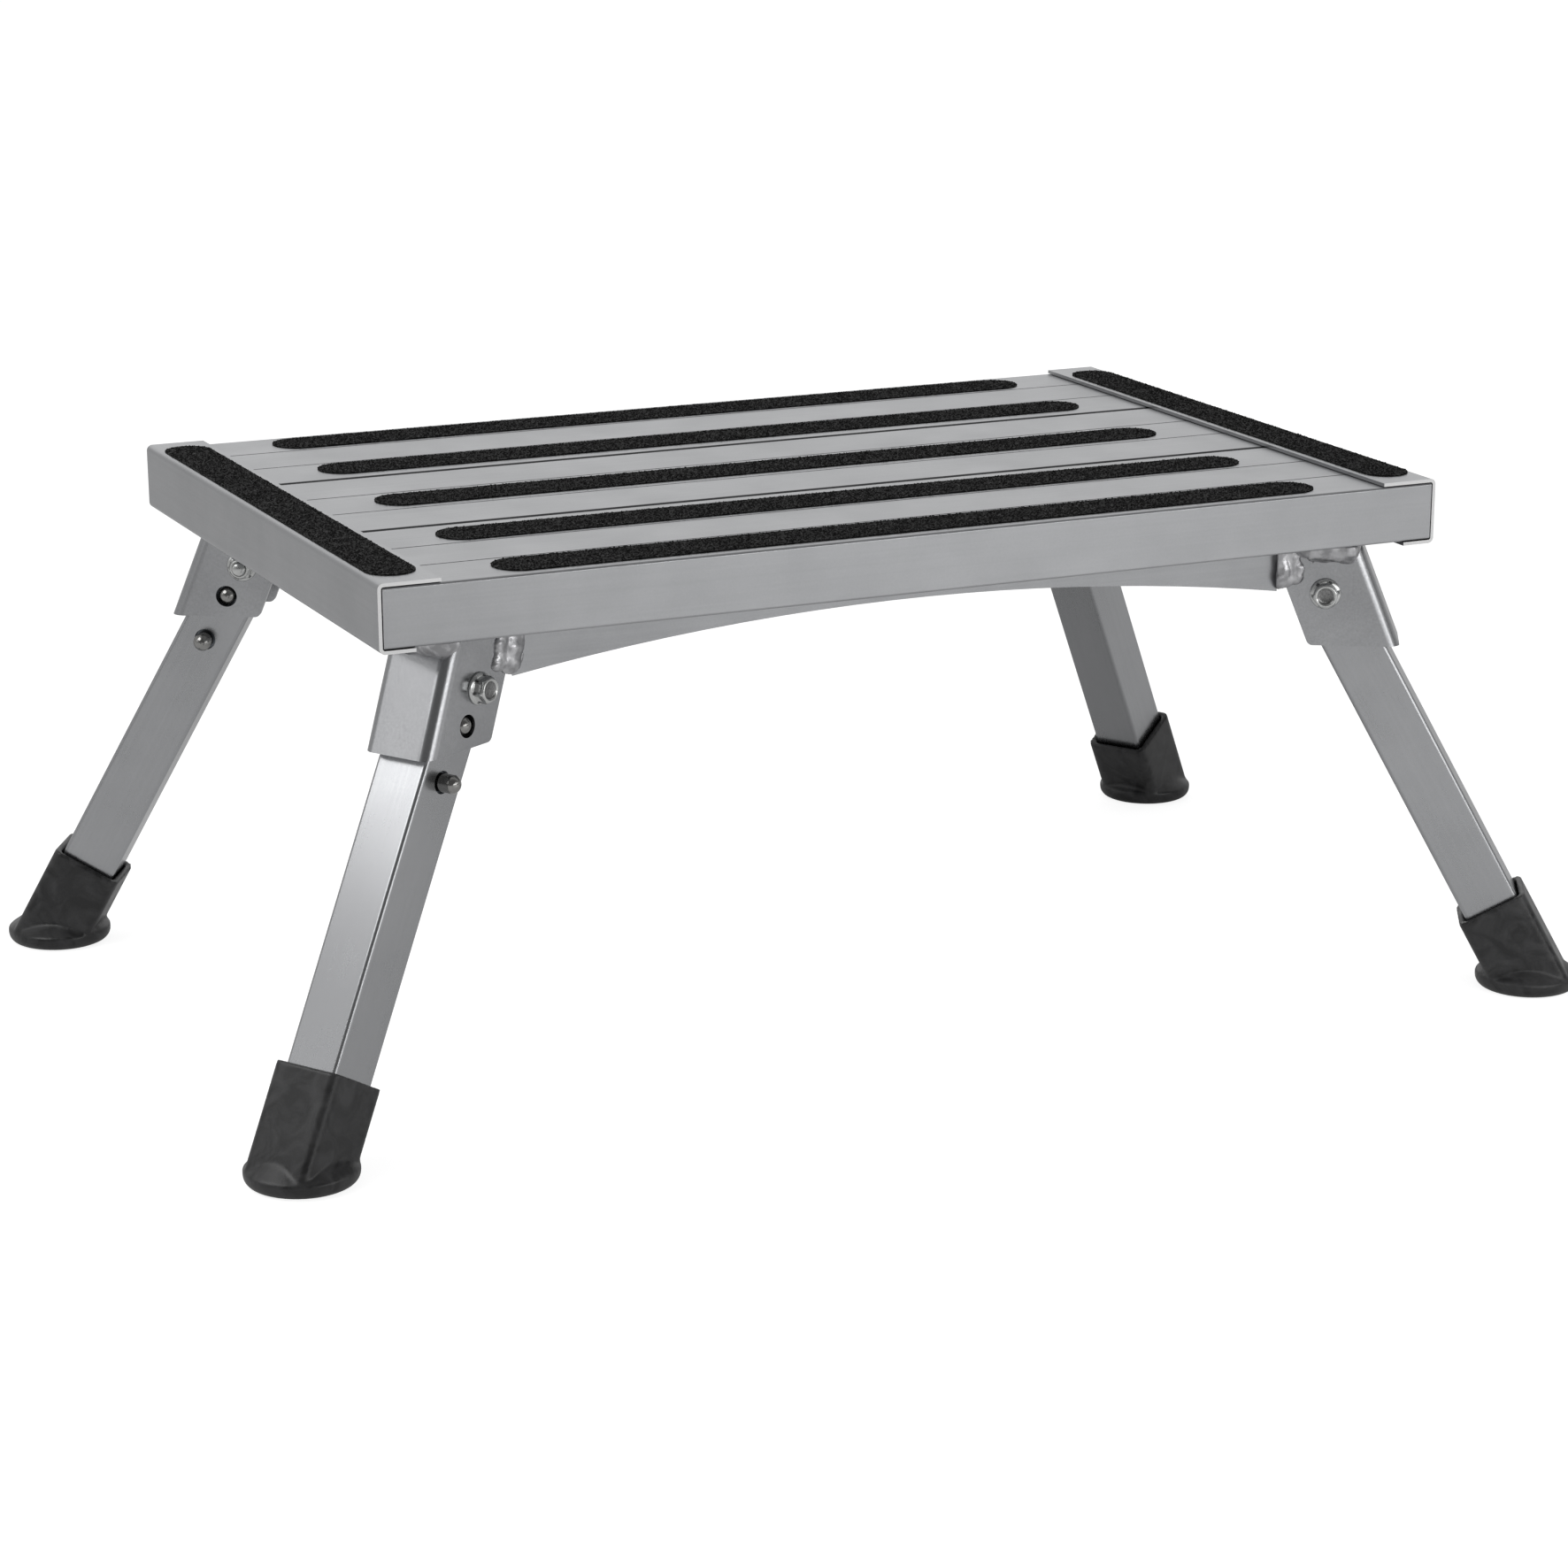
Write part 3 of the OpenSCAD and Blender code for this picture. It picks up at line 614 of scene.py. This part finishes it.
def thread_rings(low, high):
    """A thread drawn as a helix: each ring's radius depends on how far round the turn it is."""
    rings = []
    for k in range(int((high - low) / BOLT["pitch"] * THREAD_STEPS) + 1):
        height = low + k * BOLT["pitch"] / THREAD_STEPS

        def radius(angle, height=height):
            turn = (height / BOLT["pitch"] - angle / (2 * math.pi)) % 1
            return BOLT["shank"] - BOLT["thread_depth"] * (1 - abs(2 * turn - 1))

        rings.append((height, radius))
    return rings


def hinge_bolts(material, dish_shade):
    """Flange bolts with a dished head, and painted shade, a darker steel, in the dish."""
    for corner in corners:
        node = f"{corner.name}_hinge_bolt"
        end, top = (r / MM for r in reach(node, corner.hinge, corner.outward))
        seat = reach(f"{corner.name}_hinge_nut", corner.hinge, -corner.outward)[0] / MM
        head = top - seat
        rings = flange_rings(corner)
        rings += [hex_ring(head - depth, limit) for depth, limit in HEAD_CHAMFER]
        rings += [round_ring(head - depth, radius) for depth, radius in HEAD_DISH]
        shank = [round_ring(end, BOLT["shank"] - BOLT["chamfer"])]
        shank += thread_rings(end + BOLT["point"], end + BOLT["thread"])
        shank += [round_ring(shank[-1][0] + BOLT["runout"], BOLT["shank"]),
                  round_ring(seat, BOLT["shank"])]
        bolt = turned(f"{corner.name}_flange_bolt", shank + [(seat + h, r) for h, r in rings],
                      corner.outward, corner.hinge)
        finish_piece(bolt, material, "deck", "zinc_steel", node)
        # The second material is painted shade for the faces in the dish
        bolt.data.materials.append(dish_shade)
        for face in bolt.data.polygons:
            place = face.center - corner.hinge
            height = place.dot(corner.outward)
            radius = (place - corner.outward * height).length
            if height > (top - DARK_DEPTH) * MM and radius < (BOLT["dish"] - DARK_RIM) * MM:
                face.material_index = 1


def hinge_nuts(material):
    """Flange nuts with a locking collar."""
    for corner in corners:
        node = f"{corner.name}_hinge_nut"
        inward = -corner.outward
        seat, top = (r / MM for r in reach(node, corner.hinge, inward))
        height = top - seat
        shoulder = height - BOLT["collar_height"]
        rings = flange_rings(corner)
        rings += [hex_ring(shoulder - depth, limit) for depth, limit in NUT_CHAMFER]
        rings += [round_ring(height - depth, radius) for depth, radius in NUT_COLLAR]
        rings = [(seat + h, r) for h, r in rings + [round_ring(0, BORE)]]
        nut = turned(f"{corner.name}_flange_nut", rings, inward, corner.hinge, closed=True)
        finish_piece(nut, material, "deck", "zinc_steel", node)


# Rubber feet: the frame's boots with moulded, softened edges

FOOT_VOXEL = 0.9 * MM
FOOT_PASSES = 3


def rubber_feet(material):
    for corner in corners:
        node = f"{corner.name}_rubber_foot"
        foot = copy_of(node, f"{corner.name}_boot")
        soften(foot, FOOT_VOXEL, FOOT_PASSES)
        shade_smooth(foot)
        finish_piece(foot, material, f"{corner.name}_leg", "foot_rubber", node)


# Camera, lamps and floor

# Place in metres, unit directions, lens and sensor in millimetres, shift in shares of the width
CAMERA_PLACE = Vector((-0.77439, -1.68104, 0.60196))
CAMERA_LOOK = Vector((0.41862, 0.85354, -0.31019))
CAMERA_RIGHT = Vector((0.89843, -0.43909, 0.00425))
CAMERA_LENS = 96.42
CAMERA_SHIFT = (-0.0609, 0.1151)
SENSOR_WIDTH = 36


def photo_camera():
    """The photograph's viewpoint, solved from the deck's corners and the feet."""
    data = bpy.data.cameras.new("photo_camera")
    data.lens, data.sensor_width = CAMERA_LENS, SENSOR_WIDTH
    data.shift_x, data.shift_y = CAMERA_SHIFT
    data.clip_end = 100
    camera = bpy.data.objects.new("photo_camera", data)
    up = CAMERA_RIGHT.cross(CAMERA_LOOK)
    turn = Matrix((CAMERA_RIGHT, up, -CAMERA_LOOK)).transposed()
    camera.matrix_world = Matrix.Translation(CAMERA_PLACE) @ turn.to_4x4()
    bpy.context.scene.collection.objects.link(camera)
    bpy.context.scene.camera = camera


def softbox(name, place, target, size, strength):
    """A wide lamp that lights the step and shows in its metal, but not to the camera."""
    data = bpy.data.lights.new(name, "AREA")
    data.shape, data.size, data.size_y = "RECTANGLE", *size
    data.energy = strength * size[0] * size[1] * math.pi
    lamp = bpy.data.objects.new(name, data)
    lamp.location = place
    lamp.rotation_euler = (Vector(target) - Vector(place)).to_track_quat("-Z", "Y").to_euler()
    lamp.visible_camera = False
    bpy.context.scene.collection.objects.link(lamp)


ROOM_GLOW = 0.62
ROOM_SHADE = 0.2


def studio():
    """A white room: white to the camera, a softer grey in the metal, and dark behind the camera.
    The lamps stand where the deck, the left legs, their brackets, the right legs and the front
    rail mirror them to the camera."""
    world = bpy.data.worlds.new("white_room")
    world.use_nodes = True
    tree = world.node_tree
    tree.nodes.clear()
    ray = add(tree, "ShaderNodeLightPath").outputs
    away = add(tree, "ShaderNodeSeparateXYZ",
               {"Vector": add(tree, "ShaderNodeNewGeometry").outputs["Incoming"]})
    wall = add(tree, "ShaderNodeMapRange",
               {"Value": away.outputs["Y"], "From Min": 0.05, "From Max": 0.55,
                "To Min": ROOM_GLOW, "To Max": ROOM_SHADE})
    strength = add(tree, "ShaderNodeMix",
                   {"Factor": ray["Is Camera Ray"], "A": wall.outputs["Result"], "B": 1.0})
    light = add(tree, "ShaderNodeBackground", {"Strength": strength.outputs["Result"]})
    add(tree, "ShaderNodeOutputWorld", {"Surface": light.outputs["Background"]})
    bpy.context.scene.world = world
    softbox("back_softbox", (0.8, 2.4, 1.3), (0.05, 0.1, 0.3), (3.6, 2.4), 0.4)
    softbox("left_softbox", (-0.75, -0.09, 0.63), (-0.25, -0.15, 0.1), (0.5, 0.4), 2.45)
    softbox("web_softbox", (-2, 0.2, 0.66), (-0.22, -0.13, 0.17), (0.6, 0.3), 0.8)
    softbox("front_softbox", (0.38, -0.82, 0.3), (0.38, -0.819, 0), (0.8, 0.8), 1.25)
    softbox("low_softbox", (0.62, -1.85, 0.36), (0, -0.13, 0.17), (1.4, 0.35), 2.05)


FLOOR_HALF = 12
FLOOR_GLOW = 0.86

# What the metal sees of the floor: a glow that fades towards a spot under the deck
UNDER_DECK = (0.16, 0.2, 0)
SHADE_NEAR, SHADE_FAR = 0.1, 0.36
MIRRORED_SHADE, MIRRORED_GLOW = 0.12, 0.31


def floor():
    """Pale floor that shows white, with the step's soft shadow on it."""
    outline = [(-1, -1), (1, -1), (1, 1), (-1, 1)]
    plane = new_piece("floor", [(FLOOR_HALF * x, FLOOR_HALF * y, 0) for x, y in outline],
                      [(0, 1, 2, 3)])
    material, tree = new_material("white_floor")
    ray = add(tree, "ShaderNodeLightPath").outputs
    paint = add(tree, "ShaderNodeBsdfDiffuse", {"Color": linear("#b4b4b4")})
    spot = add(tree, "ShaderNodeNewGeometry").outputs["Position"]
    away = add(tree, "ShaderNodeVectorMath", {0: spot, 1: UNDER_DECK}, operation="DISTANCE")
    open_floor = add(tree, "ShaderNodeMapRange",
                     {"Value": away.outputs["Value"], "From Min": SHADE_NEAR,
                      "From Max": SHADE_FAR, "To Min": MIRRORED_SHADE,
                      "To Max": MIRRORED_GLOW})
    in_metal = add(tree, "ShaderNodeMath",
                   {0: ray["Is Glossy Ray"], 1: open_floor.outputs["Result"]}, operation="MULTIPLY")
    strength = add(tree, "ShaderNodeMath",
                   {0: ray["Is Camera Ray"], 1: FLOOR_GLOW, 2: in_metal.outputs["Value"]},
                   operation="MULTIPLY_ADD")
    glow = add(tree, "ShaderNodeEmission", {"Strength": strength.outputs["Value"]})
    lifted = add(tree, "ShaderNodeAddShader", {0: paint.outputs["BSDF"], 1: glow.outputs["Emission"]})
    add(tree, "ShaderNodeOutputMaterial", {"Surface": lifted.outputs["Shader"]})
    plane.data.materials.append(material)


# The step

dress(extruded_aluminium(), *PLANKS)
dress(folded_aluminium(), *CHANNELS)
dress(cut_aluminium_plate(), *ARCHES)
nickel = plated_steel("nickel_plated_steel", "#8a8a88", "#a5a4a2", 0.12)
zinc = plated_steel("zinc_plated_steel", "#b9bab9", "#d6d7d6", 0.22)
spring = plated_steel("spring_steel", "#5f6368", "#777b80", 0.3)
for corner in corners:
    dress(bracket_aluminium(corner), f"{corner.name}_bracket")
    dress(drawn_aluminium(corner), f"{corner.name}_leg_tube")
    dress(nickel, f"{corner.name}_lock_button", f"{corner.name}_release_button")
    dress(spring, f"{corner.name}_button_spring")
grit_strips(grit_tape())
weld_beads(weld_metal())
# The darker steel for the bolt heads' dishes is painted shade
hinge_bolts(zinc, plated_steel("dished_head_painted_shade", "#454545", "#a6a6a6", 0.26))
hinge_nuts(zinc)
rubber_feet(moulded_rubber())

photo_camera()
studio()
floor()
bpy.context.scene.view_settings.view_transform = "Standard"
